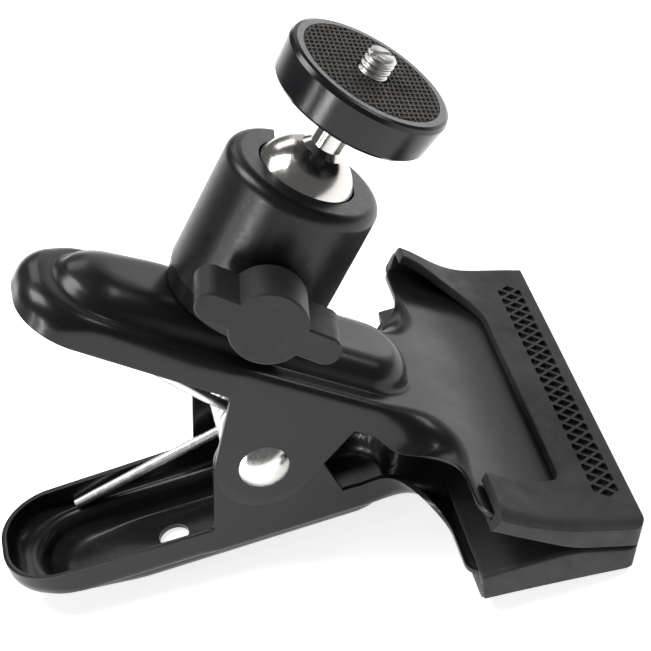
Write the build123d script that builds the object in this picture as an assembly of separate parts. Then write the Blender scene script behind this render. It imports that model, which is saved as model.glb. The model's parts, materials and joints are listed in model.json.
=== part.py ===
from build123d import *

import os
from math import acos, atan2, cos, degrees, hypot, radians, sin, sqrt, tan

os.makedirs("parts", exist_ok=True)

# Spring clamp with a small ball head, in millimetres.
#
# World frame: the clamp lies on its lower arm, +Z up, +X from the handles to the
# jaws, and the lock knob on the -Y side. The origin is the middle of its base.
# Arm frame: origin on the pivot axis, +X (t) to the jaws, +Y across, +Z (w) out
# of the clamp, away from the other arm. Both arms are drawn in this frame.
# Head frame: origin on the head's axis, on top of the upper arm's raised panel,
# +Z up the head, and angles in plan counted from +X towards +Y.

# Camera thread, 1/4 inch, drawn without its thread
THREAD_R = 3.175

# Pressed steel arms
SHEET = 1.2
ARM_ANGLE = 19.57  # from each plate to the plane midway between the arms
PLATE_H = 21.85  # pivot axis to the outer face of a plate
FLANGE = 7.3  # height of the turned-down edge
TIP_T = -61.2
TIP_HALF = 14.65
TIP_R = 12.5
UPPER_HALF = 16.9  # half width at the pivot: the upper arm's ears are outside
LOWER_HALF = 15.4
FLARE_T = 17.0  # where the neck starts to widen into the jaw
FLARE_R = 17.0
WING_HALF = 45.3
WING_CORNER_R = 4.5
EDGE_R = 2.2  # outer bend of the turned-down edge
BEND_R = 70.0  # bend that turns the front of the jaw parallel to its partner

# Raised panel pressed into each arm
PANEL_H = 5.35
PANEL_HALF = 11.1
PANEL_REAR_T = -54.5
PANEL_FRONT_T = 27.0
PANEL_SLOPE = 27.0

# Ears and pivot rivet
EAR_R = 10.6
EAR_ROOT = 14.6
RIVET_R = 3.0
RIVET_HEAD_R = 5.45
RIVET_HEAD_H = 2.3
FORMED_R = 4.6
FORMED_H = 1.6
RUN_GAP = 0.05
SLOT_IN_ARM_R = 3.45
LOWER_HOLE_T = -24.5

# Rubber jaw covers, in the midway frame: x to the jaws, z from the midway plane
JAW_X = 74.5
PLATE_FRONT_X = 72.0
PLATE_Z = 4.5  # midway plane to the outer face of the plate's front
GRIP_Z = 0.1
GRIP_FLAT_X = 61.0
LIP = 2.1
LIP_X = 60.3
COVER_HALF = 48.1
COVER_REAR_T = 36.4
COVER_REAR_PAD = 1.1
COVER_CORNER_R = 3.0
WINDOW_HALF = 33.9

# Torsion spring
WIRE_R = 1.0
COIL_R = 6.6
COIL_HALF = 9.4
COIL_HALF_TURNS = 3
SPRING_END_T = -44.0
SPRING_END_W = 19.4
SPRING_END_Y = 12.6

# Ball head
HEAD_T = -15.83
BODY_R = 17.0
BASE_R = 16.1
BASE_H = 4.7
BODY_TOP = 33.75
SHOULDER_R = 2.6
BORE_R = 11.3
BALL_R = 11.0
BALL_Z = 29.97
MOUTH_R = 10.7
NECK_R = 11.22
NECK_TOP = 9.5
RING_Z = 7.0
RING_H = 0.9
KNOB_DIRECTION = -99.5
KNOB_Z = 13.2
SPOT_FACE = 15.9  # head axis to the flat seat of the knob's washer
SLOT_BOTTOM_Z = 26.2
SLOT_HALF_BOTTOM = 5.2
SLOT_HALF_TOP = 6.8

# Stem and camera platform, measured from the ball's centre along the stem
STEM_LEAN = 4.4
STEM_LEAN_DIRECTION = -39.0
STEM_R = 3.4
STEM_BLEND = 1.2
STEM_TOP = 22.6
PLATFORM_TOP = 29.46
PLATFORM_H = 9.0
PLATFORM_R = 18.0
PLATFORM_FOOT_R = 17.3
PAD_R = 15.5
PAD_DEPTH = 1.2
PAD_PROUD = 0.2
STUD_TOP = 34.1
SHANK_R = 2.9

# Lock knob, measured from the head's axis along the knob's axis
KNOB_IN = 19.0
KNOB_OUT = 30.2
KNOB_HUB_R = 8.2
KNOB_WING = 15.6
KNOB_WING_R = 3.3
LOCK_SCREW_R = 2.95
LOCK_SCREW_TIP = 3.5


# Worked out from the sizes above
ALPHA = radians(ARM_ANGLE)
CORNER_X = (PLATE_H - PLATE_Z * cos(ALPHA)) / sin(ALPHA)
BEND_T = CORNER_X * cos(ALPHA) - PLATE_Z * sin(ALPHA) - BEND_R * tan(ALPHA / 2)
WING_T = FLARE_T + FLARE_R
PANEL_W = PLATE_H + PANEL_H
UPPER_EAR_IN = UPPER_HALF - SHEET


def jaw_point(x, z):
    """A point of the midway frame in the arm frame, as (t, w)."""
    return (x * cos(ALPHA) - z * sin(ALPHA), x * sin(ALPHA) + z * cos(ALPHA))


# The lower arm rests on the rear end of its panel and the front of its cover
REST_REAR = (PANEL_REAR_T + PANEL_H * tan(radians(PANEL_SLOPE)), PANEL_W)
REST_FRONT = jaw_point(JAW_X, PLATE_Z + LIP)
REST_TILT = degrees(
    atan2(REST_FRONT[1] - REST_REAR[1], REST_FRONT[0] - REST_REAR[0])
)

LOWER = Rot(0, -REST_TILT, 0) * Rot(180, 0, 0)
UPPER = Rot(0, 2 * ARM_ANGLE - REST_TILT, 0)
HEAD = UPPER * Pos(HEAD_T, 0, PANEL_W)
KNOB = HEAD * Pos(0, 0, KNOB_Z) * Rot(0, 0, KNOB_DIRECTION) * Rot(0, 90, 0)
LEAN = Rot(0, 0, STEM_LEAN_DIRECTION) * Rot(0, STEM_LEAN, 0)
STEM = HEAD * Pos(0, 0, BALL_Z) * LEAN * Rot(0, 0, -STEM_LEAN_DIRECTION)


def across(face, half):
    """Extrudes a face of the arm's side view to both sides of its middle."""
    return extrude(face, half, both=True)


def disc(radius, low, high):
    """A cylinder about the local Z axis between two heights."""
    return Pos(0, 0, (low + high) / 2) * Cylinder(radius, high - low)


def tube(outer, inner, low, high):
    """A ring about the local Z axis between two heights."""
    return disc(outer, low, high) - disc(inner, low - 1, high + 1)


def lathe(*points):
    """A solid turned about the local Z axis from points (radius, height)."""
    return revolve(Plane.XZ * make_face(Polyline(*points, close=True)), Axis.Z)


# Pressed arms


def arm_outline(half):
    """Plan of an arm: rounded handle, straight sides, neck flaring to the jaw."""
    front = JAW_X
    corner = (WING_T + WING_CORNER_R, WING_HALF - WING_CORNER_R)
    side = [
        Line((TIP_T, 0), (TIP_T, TIP_HALF - TIP_R)),
        CenterArc((TIP_T + TIP_R, TIP_HALF - TIP_R), TIP_R, 180, -90),
        Line((TIP_T + TIP_R, TIP_HALF), (-EAR_ROOT, half)),
        Line((-EAR_ROOT, half), (FLARE_T, half)),
        CenterArc((FLARE_T, half + FLARE_R), FLARE_R, -90, 90),
        Line((WING_T, half + FLARE_R), (WING_T, corner[1])),
        CenterArc(corner, WING_CORNER_R, 180, -90),
        Line((corner[0], WING_HALF), (front, WING_HALF)),
        Line((front, WING_HALF), (front, 0)),
    ]
    half_plan = make_face(Curve() + side + [Line((front, 0), (TIP_T, 0))])
    return half_plan + mirror(half_plan, Plane.XZ)


def plate_surface(offset, t_rear, x_front):
    """Side view of the surface that lies offset mm outside a plate's outer face."""
    radius = BEND_R - offset
    start = (BEND_T, PLATE_H + offset)
    end = (BEND_T + radius * sin(ALPHA), PLATE_H + BEND_R - radius * cos(ALPHA))
    return [
        Line((t_rear, PLATE_H + offset), start),
        CenterArc((BEND_T, PLATE_H + BEND_R), radius, -90, ARM_ANGLE),
        Line(end, jaw_point(x_front, PLATE_Z + offset)),
    ]


def plate_band(low, high, t_rear, x_front, half):
    """Solid between two surfaces that both follow the plate."""
    outer = plate_surface(high, t_rear, x_front)
    inner = plate_surface(low, t_rear, x_front)
    ends = [
        Line((t_rear, PLATE_H + low), (t_rear, PLATE_H + high)),
        Line(jaw_point(x_front, PLATE_Z + low), jaw_point(x_front, PLATE_Z + high)),
    ]
    return across(Plane.XZ * make_face(Curve() + outer + inner + ends), half)


def jaw_plate(outline):
    """The flat and bent sheet of the jaw, forward of the handle."""
    prism = extrude(Pos(0, 0, -JAW_X) * outline, 3 * JAW_X)
    return plate_band(-SHEET, 0, WING_T - 1, PLATE_FRONT_X, COVER_HALF) & prism


def turned_block(outline, inset, top, radius):
    """The outline behind the wings as a block with its top edge rounded."""
    rear = Pos((TIP_T + WING_T) / 2, 0) * Rectangle(WING_T - TIP_T, 4 * UPPER_HALF)
    plan = (offset(outline, amount=-inset) if inset else outline) & rear
    low = PLATE_H - FLANGE - inset
    block = extrude(Pos(0, 0, low) * plan, top - low)
    rim = [
        e
        for e in block.faces().sort_by(Axis.Z)[-1].edges()
        if e.center().X < WING_T - inset - 0.01
    ]
    return fillet(rim, radius)


def panel(inset, base_w):
    """The raised panel: a long rounded boss with sloping sides."""
    length = PANEL_FRONT_T - PANEL_REAR_T - 2 * inset
    plan = SlotOverall(length, 2 * (PANEL_HALF - inset))
    middle = (PANEL_FRONT_T + PANEL_REAR_T) / 2
    return Pos(middle, 0, base_w) * extrude(plan, PANEL_H, taper=PANEL_SLOPE)


def ear(half):
    """A pair of pivot ears that carry on the arm's sides down to the rivet."""
    root_w = PLATE_H - FLANGE
    reach = hypot(EAR_ROOT, root_w)
    turn = atan2(root_w, EAR_ROOT) - acos(EAR_R / reach)
    touch = (EAR_R * cos(turn), EAR_R * sin(turn))
    profile = Polyline(
        (-EAR_ROOT, root_w + SHEET),
        (-EAR_ROOT, root_w),
        (-touch[0], touch[1]),
        (touch[0], touch[1]),
        (EAR_ROOT, root_w),
        (EAR_ROOT, root_w + SHEET),
        close=True,
    )
    face = Plane.XZ * (make_face(profile) + Circle(EAR_R))
    return across(face, half) - across(face, half - SHEET)


def arm(half, pin_r, hole_t):
    """A whole pressed arm: plate, turned-down edge, raised panel and ears."""
    outline = arm_outline(half)
    shell = turned_block(outline, 0, PLATE_H, EDGE_R)
    shell -= turned_block(outline, SHEET, PLATE_H - SHEET, EDGE_R - SHEET)
    # The turned-down edge fades out along the flare
    fade = Plane.XZ * make_face(
        Polyline(
            (FLARE_T, PLATE_H - FLANGE),
            (WING_T + 1, PLATE_H - EDGE_R),
            (WING_T + 1, PLATE_H - 2 * FLANGE),
            (FLARE_T, PLATE_H - 2 * FLANGE),
            close=True,
        )
    )
    shell -= across(fade, COVER_HALF)
    solid = shell + jaw_plate(outline) + panel(0, PLATE_H - 0.01) + ear(half)
    solid -= panel(0.75, PLATE_H - SHEET)
    pin = Rot(90, 0, 0) * Cylinder(pin_r, 4 * half)
    hole = Pos(hole_t, 0, PANEL_W) * Cylinder(SLOT_IN_ARM_R, 4 * SHEET)
    return solid - pin - hole


# Rubber jaw covers


def jaw_cover(half):
    """A moulded sleeve: lip and ears outside the plate, thick pad inside it."""
    grip = FilletPolyline(
        (COVER_REAR_T, PLATE_H - SHEET - COVER_REAR_PAD),
        jaw_point(GRIP_FLAT_X, GRIP_Z),
        jaw_point(JAW_X, GRIP_Z),
        radius=25,
    )
    top = plate_surface(LIP, COVER_REAR_T, JAW_X)
    ends = [
        Line(grip @ 0, (COVER_REAR_T, PLATE_H + LIP)),
        Line(grip @ 1, jaw_point(JAW_X, PLATE_Z + LIP)),
    ]
    sleeve = across(Plane.XZ * make_face(Curve() + [grip] + top + ends), COVER_HALF)
    depth = 2 * (JAW_X - COVER_REAR_T)
    plan = Rot(0, -ARM_ANGLE, 0) * Pos(JAW_X - depth / 2, 0, 0)
    sleeve &= plan * extrude(
        RectangleRounded(depth, 2 * COVER_HALF, COVER_CORNER_R), 40, both=True
    )
    window = plan * Pos(LIP_X - JAW_X, 0, 0) * extrude(
        RectangleRounded(depth, 2 * WINDOW_HALF, 2.5), 60, both=True
    )
    window &= plate_band(-SHEET / 2, 3 * LIP, 0, JAW_X, COVER_HALF)
    return sleeve - window - jaw_plate(arm_outline(half))


# Pivot and spring


def pivot_rivet():
    """Domed rivet through all four ears, its far end formed over a washer."""
    near = UPPER_HALF + RUN_GAP
    far = near + SHEET
    dome_r = (RIVET_HEAD_R**2 + RIVET_HEAD_H**2) / (2 * RIVET_HEAD_H)
    cap = Pos(0, 0, near + RIVET_HEAD_H - dome_r) * Sphere(dome_r)
    cap &= disc(RIVET_HEAD_R, near, near + RIVET_HEAD_H)
    formed = lathe(
        (0, far),
        (FORMED_R, far),
        (FORMED_R, far + FORMED_H / 2),
        (FORMED_R - FORMED_H / 2, far + FORMED_H),
        (0, far + FORMED_H),
    )
    shank = disc(RIVET_R, -near, far)
    return Rot(-90, 0, 0) * (shank + Rot(180, 0, 0) * cap + formed)


def rivet_washer():
    """Plain washer under the rivet's formed end."""
    near = UPPER_HALF + RUN_GAP
    return Rot(-90, 0, 0) * tube(EAR_R / 2, RIVET_R, near, near + SHEET)


def spring_half(frame, side):
    """Half of the torsion spring, in the world frame about the pivot axis.

    A straight leg presses on the arm placed by frame and runs into the coil,
    which winds inwards from side * COIL_HALF to the middle.
    """
    reach = hypot(SPRING_END_T, SPRING_END_W)
    turn = atan2(SPRING_END_W, SPRING_END_T) - acos(COIL_R / reach)
    touch = (frame * Pos(COIL_R * cos(turn), 0, COIL_R * sin(turn))).position
    end = (frame * Pos(SPRING_END_T, 0, SPRING_END_W)).position
    height = COIL_HALF - WIRE_R - 0.15
    phase = degrees(atan2(touch.Z, touch.X))
    place = Pos(0, side * COIL_HALF, 0) * Rot(0, -phase, 0) * Rot(side * 90, 0, 0)
    coil = place * Helix(height / COIL_HALF_TURNS, height, COIL_R)
    leg = Line((end.X, side * SPRING_END_Y, end.Z), coil @ 0)
    path = Wire([leg.edge(), coil.edge()])
    return sweep((path ^ 0) * Circle(WIRE_R), path=path, transition=Transition.ROUND)


# Ball head, in the head frame


def head_base():
    """Bottom disc with the neck that the body turns on."""
    turned = lathe(
        (0, 0),
        (BASE_R - 0.5, 0),
        (BASE_R, 0.5),
        (BODY_R, BASE_H),
        (NECK_R, BASE_H),
        (NECK_R, RING_Z - 0.05),
        (NECK_R - 0.8, RING_Z - 0.05),
        (NECK_R - 0.8, RING_Z + RING_H + 0.05),
        (NECK_R, RING_Z + RING_H + 0.05),
        (NECK_R, NECK_TOP),
        (0, NECK_TOP),
    )
    return turned - disc(THREAD_R, -1, NECK_TOP - 1.5)


def retaining_ring():
    """Open snap ring between the grooves of the neck and the body."""
    ring = tube(BORE_R + 0.6, NECK_R - 0.7, RING_Z, RING_Z + RING_H)
    return ring - Pos(BORE_R, 0, RING_Z) * Box(6, 4, 4)


def mounting_washer():
    """Flat washer against the inside of the raised panel."""
    return tube(7.0, SLOT_IN_ARM_R, -2 * SHEET, -SHEET)


def mounting_screw():
    """Slotted pan-head screw up through the arm into the base."""
    under = -2 * SHEET
    head = fillet(disc(5.6, under - 3.4, under).edges().sort_by(Axis.Z)[0], 1.2)
    slot = Pos(0, 0, under - 3.4) * Box(12, 1.2, 3.2)
    return head - slot + disc(THREAD_R, under, NECK_TOP - 2)


def stem_slot():
    """Cutter for the notch that lets the stem lie flat, opposite the knob."""
    wide = SLOT_HALF_TOP + 2
    notch = Polyline(
        (-SLOT_HALF_BOTTOM, BALL_Z),
        (-wide, BODY_TOP + 5),
        (wide, BODY_TOP + 5),
        (SLOT_HALF_BOTTOM, BALL_Z),
        close=True,
    )
    round_end = Pos(0, SLOT_BOTTOM_Z + SLOT_HALF_BOTTOM) * Circle(SLOT_HALF_BOTTOM)
    face = Plane.YZ * (make_face(notch) + round_end)
    return Rot(0, 0, KNOB_DIRECTION + 180) * extrude(face, 2 * BODY_R)


def head_body():
    """Bored and slotted body that holds the ball from above."""
    blank = disc(BODY_R, BASE_H + 0.1, BODY_TOP)
    shell = fillet(blank.edges().sort_by(Axis.Z)[-1], SHOULDER_R)
    cavity = disc(BORE_R, 0, BALL_Z) + Pos(0, 0, BALL_Z) * Sphere(BORE_R)
    mouth = disc(MOUTH_R, BALL_Z, BODY_TOP + 1)
    groove = disc(BORE_R + 0.65, RING_Z, RING_Z + RING_H)
    shell = shell - cavity - mouth - groove - stem_slot()
    side = Pos(0, 0, KNOB_Z) * Rot(0, 0, KNOB_DIRECTION) * Rot(0, 90, 0)
    return shell - side * disc(6.3, SPOT_FACE, BODY_R + 1) - side * disc(3.0, 0, BODY_R)


def ball_seat():
    """Plastic cup under the ball."""
    return disc(BORE_R - 0.1, 17.2, 24.0) - Pos(0, 0, BALL_Z) * Sphere(BALL_R + 0.1)


def pressure_block():
    """Sliding block that the lock screw's point lifts against the cup."""
    block = disc(BORE_R - 0.3, NECK_TOP + 0.2, 17.1)
    hole = disc(LOCK_SCREW_R + 0.15, LOCK_SCREW_TIP + LOCK_SCREW_R, 20)
    point = Pos(0, 0, LOCK_SCREW_TIP + LOCK_SCREW_R / 2) * Cone(
        0.3, LOCK_SCREW_R + 0.15, LOCK_SCREW_R
    )
    side = Pos(0, 0, KNOB_Z) * Rot(0, 0, KNOB_DIRECTION) * Rot(0, 90, 0)
    return block - side * (hole + point)


# Lock knob, with its own axis as Z


def lock_screw():
    """Pointed screw moulded into the knob."""
    cone_top = LOCK_SCREW_TIP + LOCK_SCREW_R
    return lathe(
        (0, LOCK_SCREW_TIP + 0.4),
        (LOCK_SCREW_R - 0.2, cone_top),
        (LOCK_SCREW_R, cone_top + 0.2),
        (LOCK_SCREW_R, KNOB_OUT - 3),
        (0, KNOB_OUT - 3),
    )


def knob_washer():
    """Thin washer between the body's spot face and the knob's collar."""
    return tube(5.8, LOCK_SCREW_R + 0.1, SPOT_FACE, SPOT_FACE + 1.0)


def lock_knob():
    """Two-winged grip with a round hub and a collar towards the body."""
    wings = SlotOverall(2 * KNOB_WING, 2 * KNOB_WING_R, rotation=90)
    plan = wings + Circle(KNOB_HUB_R)
    grip = Pos(0, 0, KNOB_IN) * extrude(plan, KNOB_OUT - KNOB_IN)
    grip = chamfer(grip.faces().sort_by(Axis.Z)[-1].edges(), 0.4)
    collar = disc(5.5, SPOT_FACE + 1.1, KNOB_IN)
    return grip + collar - disc(LOCK_SCREW_R, 0, KNOB_OUT - 3)


# Ball, stem and camera platform, with the stem's axis as Z from the ball's centre


def ball_stud():
    """Ball and stem in one piece."""
    root_r = STEM_R + STEM_BLEND
    root_z = sqrt(BALL_R**2 - root_r**2)
    root = Pos(0, 0, root_z + STEM_BLEND / 2) * Cone(root_r, STEM_R, STEM_BLEND)
    return Sphere(BALL_R) + root + disc(STEM_R, 0, STEM_TOP - 0.1)


def camera_platform():
    """Round platform, tapering a little towards its underside."""
    foot = PLATFORM_TOP - PLATFORM_H
    plate = lathe(
        (0, foot),
        (PLATFORM_FOOT_R - 0.8, foot),
        (PLATFORM_FOOT_R, foot + 0.8),
        (PLATFORM_R, PLATFORM_TOP - 1.2),
        (PLATFORM_R - 0.4, PLATFORM_TOP - 0.3),
        (PLATFORM_R - 1.1, PLATFORM_TOP),
        (0, PLATFORM_TOP),
    )
    recess = disc(PAD_R, PLATFORM_TOP - PAD_DEPTH, PLATFORM_TOP + 1)
    socket = disc(STEM_R + 0.08, foot - 1, STEM_TOP)
    return plate - recess - socket - disc(SHANK_R, foot, PLATFORM_TOP)


def platform_pad():
    """Thin anti-slip pad let into the platform."""
    return tube(PAD_R, THREAD_R + 0.4, PLATFORM_TOP - PAD_DEPTH, PLATFORM_TOP + PAD_PROUD)


def camera_screw():
    """Camera stud on a plain shank, with a screwdriver slot in its end."""
    stud = disc(THREAD_R, PLATFORM_TOP + PAD_PROUD, STUD_TOP)
    stud = chamfer(stud.edges().sort_by(Axis.Z)[-1], 0.5)
    stud += disc(SHANK_R, STEM_TOP, STUD_TOP - 3)
    return stud - Pos(0, 0, STUD_TOP) * Box(8, 1.0, 2.4)


def build():
    """Every node by name, in place about the pivot."""
    return {
        "lower_jaw_arm": LOWER * arm(LOWER_HALF, RIVET_R, LOWER_HOLE_T),
        "lower_jaw_cover": LOWER * jaw_cover(LOWER_HALF),
        "pivot_rivet": pivot_rivet(),
        "rivet_washer": rivet_washer(),
        "spring_lower_half": spring_half(LOWER, 1),
        "upper_jaw_arm": UPPER * arm(UPPER_HALF, RIVET_R + RUN_GAP, HEAD_T),
        "upper_jaw_cover": UPPER * jaw_cover(UPPER_HALF),
        "spring_upper_half": spring_half(UPPER, -1),
        "head_base": HEAD * head_base(),
        "mounting_washer": HEAD * mounting_washer(),
        "mounting_screw": HEAD * mounting_screw(),
        "retaining_ring": HEAD * retaining_ring(),
        "head_body": HEAD * head_body(),
        "ball_seat": HEAD * ball_seat(),
        "pressure_block": HEAD * pressure_block(),
        "knob_washer": KNOB * knob_washer(),
        "lock_screw": KNOB * lock_screw(),
        "lock_knob": KNOB * lock_knob(),
        "ball_stud": STEM * ball_stud(),
        "camera_platform": STEM * camera_platform(),
        "platform_pad": STEM * platform_pad(),
        "camera_screw": STEM * camera_screw(),
    }


def to_base(nodes):
    """The move that puts the origin in the middle of the whole clamp's base."""
    whole = Compound(children=[Compound(n.solids()) for n in nodes.values()])
    box = whole.bounding_box()
    return Pos(-box.center().X, 0, -box.min.Z)


nodes = build()
BASE = to_base(nodes)
for name, shape in nodes.items():
    export_step(BASE * shape, f"parts/{name}.step")
    print(name, "solids", len(shape.solids()), "volume", round(shape.volume, 1))
print("pivot", BASE.position)
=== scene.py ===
import json
from math import acos, atan2, cos, hypot, pi, radians, sin, sqrt, tan

import bmesh
import bpy
from mathutils import Matrix, Vector


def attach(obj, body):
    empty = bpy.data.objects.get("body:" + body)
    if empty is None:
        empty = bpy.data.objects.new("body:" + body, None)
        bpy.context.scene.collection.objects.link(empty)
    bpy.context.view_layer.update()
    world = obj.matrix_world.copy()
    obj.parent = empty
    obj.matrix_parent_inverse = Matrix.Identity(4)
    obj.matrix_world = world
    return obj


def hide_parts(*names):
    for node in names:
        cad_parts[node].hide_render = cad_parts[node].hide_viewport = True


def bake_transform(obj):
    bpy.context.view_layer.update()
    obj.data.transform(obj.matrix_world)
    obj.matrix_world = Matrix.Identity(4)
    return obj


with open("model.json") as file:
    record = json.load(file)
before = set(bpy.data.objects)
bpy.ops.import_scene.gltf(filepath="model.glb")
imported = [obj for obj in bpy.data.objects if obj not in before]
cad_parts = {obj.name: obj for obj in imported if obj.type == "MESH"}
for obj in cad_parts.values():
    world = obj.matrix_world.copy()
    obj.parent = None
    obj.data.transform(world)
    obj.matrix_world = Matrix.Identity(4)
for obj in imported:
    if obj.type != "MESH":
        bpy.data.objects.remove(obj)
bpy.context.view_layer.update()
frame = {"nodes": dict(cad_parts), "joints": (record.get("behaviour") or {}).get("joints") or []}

MM = 0.001

# Local frames. Every piece is drawn in millimetres in one of them.
# Arm frame: origin on the pivot, x (t) to the jaws, z (w) out of the clamp.
# Midway frame: origin on the pivot, x to the jaws in the plane between the arms.
# Stem frame: origin at the ball's centre, z up the stem.
JOINTS = {j["name"]: j for j in frame["joints"]}
PIVOT = Vector(JOINTS["jaw_open"]["pos_m"])
ARM_ANGLE = radians(19.57)
UPPER_TURN = atan2(JOINTS["head_pan"]["axis"][0], JOINTS["head_pan"]["axis"][2])
LOWER_TURN = UPPER_TURN - 2 * ARM_ANGLE
FLIP = Matrix.Rotation(pi, 4, "X")
UPPER = Matrix.Translation(PIVOT) @ Matrix.Rotation(UPPER_TURN, 4, "Y")
LOWER = Matrix.Translation(PIVOT) @ Matrix.Rotation(LOWER_TURN, 4, "Y") @ FLIP
MIDWAY = Matrix.Translation(PIVOT) @ Matrix.Rotation(UPPER_TURN - ARM_ANGLE, 4, "Y")


def frame_along(origin, axis, towards):
    """Matrix with its z along axis and its x as near as can be to towards."""
    z = Vector(axis).normalized()
    y = z.cross(Vector(towards)).normalized()
    turn = Matrix((y.cross(z), y, z)).transposed().to_4x4()
    return Matrix.Translation(Vector(origin)) @ turn


STEM = frame_along(JOINTS["platform_turn"]["pos_m"], JOINTS["platform_turn"]["axis"], (1, 0, 0))

# Sizes shared with the CAD model
SHEET = 1.2
PLATE_H = 21.85
FLANGE = 7.3
TIP_T, TIP_HALF, TIP_R = -61.2, 14.65, 12.5
UPPER_HALF, LOWER_HALF = 16.9, 15.4
FLARE_T, FLARE_R = 17.0, 17.0
WING_HALF, WING_CORNER_R = 45.3, 4.5
EDGE_R, TIP_EDGE_R = 2.2, 4.8
BEND_R = 70.0
PANEL_H, PANEL_HALF, PANEL_FOOT = 5.35, 11.1, 1.3
PANEL_REAR_T, PANEL_FRONT_T = -54.5, 27.0
EAR_R, EAR_ROOT = 10.6, 14.6
RIVET_R = 3.0
HOLE_R = 3.45
HEAD_T, LOWER_HOLE_T = -15.83, -24.5
JAW_X, PLATE_FRONT_X, PLATE_Z = 74.5, 72.0, 4.5
GRIP_Z, GRIP_FLAT_X, GRIP_ROUND = 0.1, 61.0, 25.0
LIP, LIP_X = 2.1, 60.3
COVER_HALF, COVER_REAR_T, COVER_REAR_PAD = 48.1, 36.4, 1.1
WINDOW_HALF = 33.9
CORNER_R = 2.4
WIRE_R, COIL_R, COIL_HALF, COIL_TURNS = 1.15, 6.6, 9.4, 7
SPRING_END_T, SPRING_END_W, SPRING_END_Y = -44.0, 19.4, 12.6
PLATFORM_TOP, PAD_R, PAD_DEPTH, PAD_PROUD = 29.46, 15.5, 1.2, 0.2
THREAD_R, THREAD_PITCH, THREAD_DEPTH = 3.175, 1.27, 0.5
STUD_TOP = 34.1

# Sizes of the detailed pieces alone
REAR_SOFTNESS = 4.8
UPPER_SLOPE, LOWER_SLOPE = 7.6, 4.2
SPRING_KNEE = (-25.0, 0, 8.8)
SPRING_KNEE_Y = 10.8
SLOT_TURN = radians(25)
EAR_STEPS = 40
CORNER_X = (PLATE_H - PLATE_Z * cos(ARM_ANGLE)) / sin(ARM_ANGLE)
BEND_T = CORNER_X * cos(ARM_ANGLE) - PLATE_Z * sin(ARM_ANGLE) - BEND_R * tan(ARM_ANGLE / 2)
WING_T = FLARE_T + FLARE_R


# Mesh helpers


def smooth(value, low, high):
    """0 below low, 1 above high, eased between."""
    x = min(1.0, max(0.0, (value - low) / (high - low)))
    return x * x * (3 - 2 * x)


def add_object(name, mesh):
    """Links a new object for a mesh."""
    obj = bpy.data.objects.new(name, mesh)
    bpy.context.scene.collection.objects.link(obj)
    return obj


def mesh_object(name, points, faces, matrix):
    """An object from points in millimetres in a local frame, welded and outward."""
    mesh = bpy.data.meshes.new(name)
    mesh.from_pydata([tuple(p) for p in points], [], faces)
    bm = bmesh.new()
    bm.from_mesh(mesh)
    bmesh.ops.remove_doubles(bm, verts=bm.verts, dist=1e-4)
    bmesh.ops.recalc_face_normals(bm, faces=bm.faces)
    bm.to_mesh(mesh)
    bm.free()
    mesh.transform(matrix @ Matrix.Scale(MM, 4))
    return add_object(name, mesh)


def grid_faces(columns, rows, start=0):
    """Quads of a grid whose points are listed row by row."""
    return [
        (start + a * columns + b, start + a * columns + b + 1,
         start + (a + 1) * columns + b + 1, start + (a + 1) * columns + b)
        for a in range(rows - 1)
        for b in range(columns - 1)
    ]


def apply_modifiers(obj):
    """Replaces an object's mesh by the one its modifiers give."""
    graph = bpy.context.evaluated_depsgraph_get()
    made = bpy.data.meshes.new_from_object(obj.evaluated_get(graph))
    obj.modifiers.clear()
    obj.data = made


def shade(obj, angle):
    """Smooth shading, with edges sharper than angle kept crisp."""
    obj.data.shade_smooth()
    obj.data.set_sharp_from_angle(angle=radians(angle))


def bar(low, high, radius, matrix, sides=48):
    """A cylinder along a local frame's z, as a cutter."""
    bm = bmesh.new()
    bmesh.ops.create_cone(
        bm, cap_ends=True, segments=sides, radius1=radius, radius2=radius, depth=high - low
    )
    bmesh.ops.translate(bm, verts=bm.verts, vec=(0, 0, (low + high) / 2))
    mesh = bpy.data.meshes.new("cutter")
    bm.to_mesh(mesh)
    bm.free()
    mesh.transform(matrix @ Matrix.Scale(MM, 4))
    return add_object("cutter", mesh)


def cut(obj, cutters):
    """Takes the cutters out of an object and removes them."""
    for cutter in cutters:
        modifier = obj.modifiers.new("cut", "BOOLEAN")
        modifier.operation = "DIFFERENCE"
        modifier.solver = "EXACT"
        modifier.object = cutter
    apply_modifiers(obj)
    for cutter in cutters:
        bpy.data.objects.remove(cutter)


# Materials


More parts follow.
